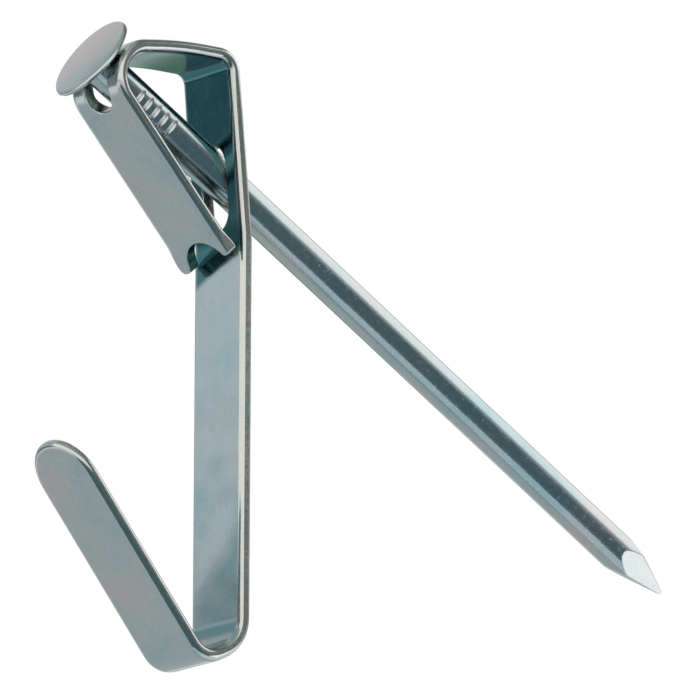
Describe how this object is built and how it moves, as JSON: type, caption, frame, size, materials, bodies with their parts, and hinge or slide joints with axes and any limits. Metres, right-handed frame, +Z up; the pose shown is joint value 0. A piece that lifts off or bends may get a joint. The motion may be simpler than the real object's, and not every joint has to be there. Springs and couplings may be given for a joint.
{
  "type": "picture hook",
  "caption": "Wall picture hook: one zinc-plated steel strip folded into an upturned hook and a triangular carrier, with a slanting flat-headed nail driven through it",
  "frame": {"origin": "middle of the flat rear face that lies on the wall, on the strip's centre plane", "axes": "+X across the strip, +Y square into the wall, +Z up the wall; the hook and the nail's head stand out on the -Y side"},
  "size_m": [0.0072, 0.0559, 0.0474],
  "materials": {
    "strip_zinc": "bright zinc plate, faintly rainbow-tinted, rolled strip",
    "nail_zinc": "bright zinc plate on drawn wire, die marks on the head"
  },
  "bodies": {
    "root": {"hanger_strip": "strip_zinc", "nail": "nail_zinc"}
  },
  "joints": []
}
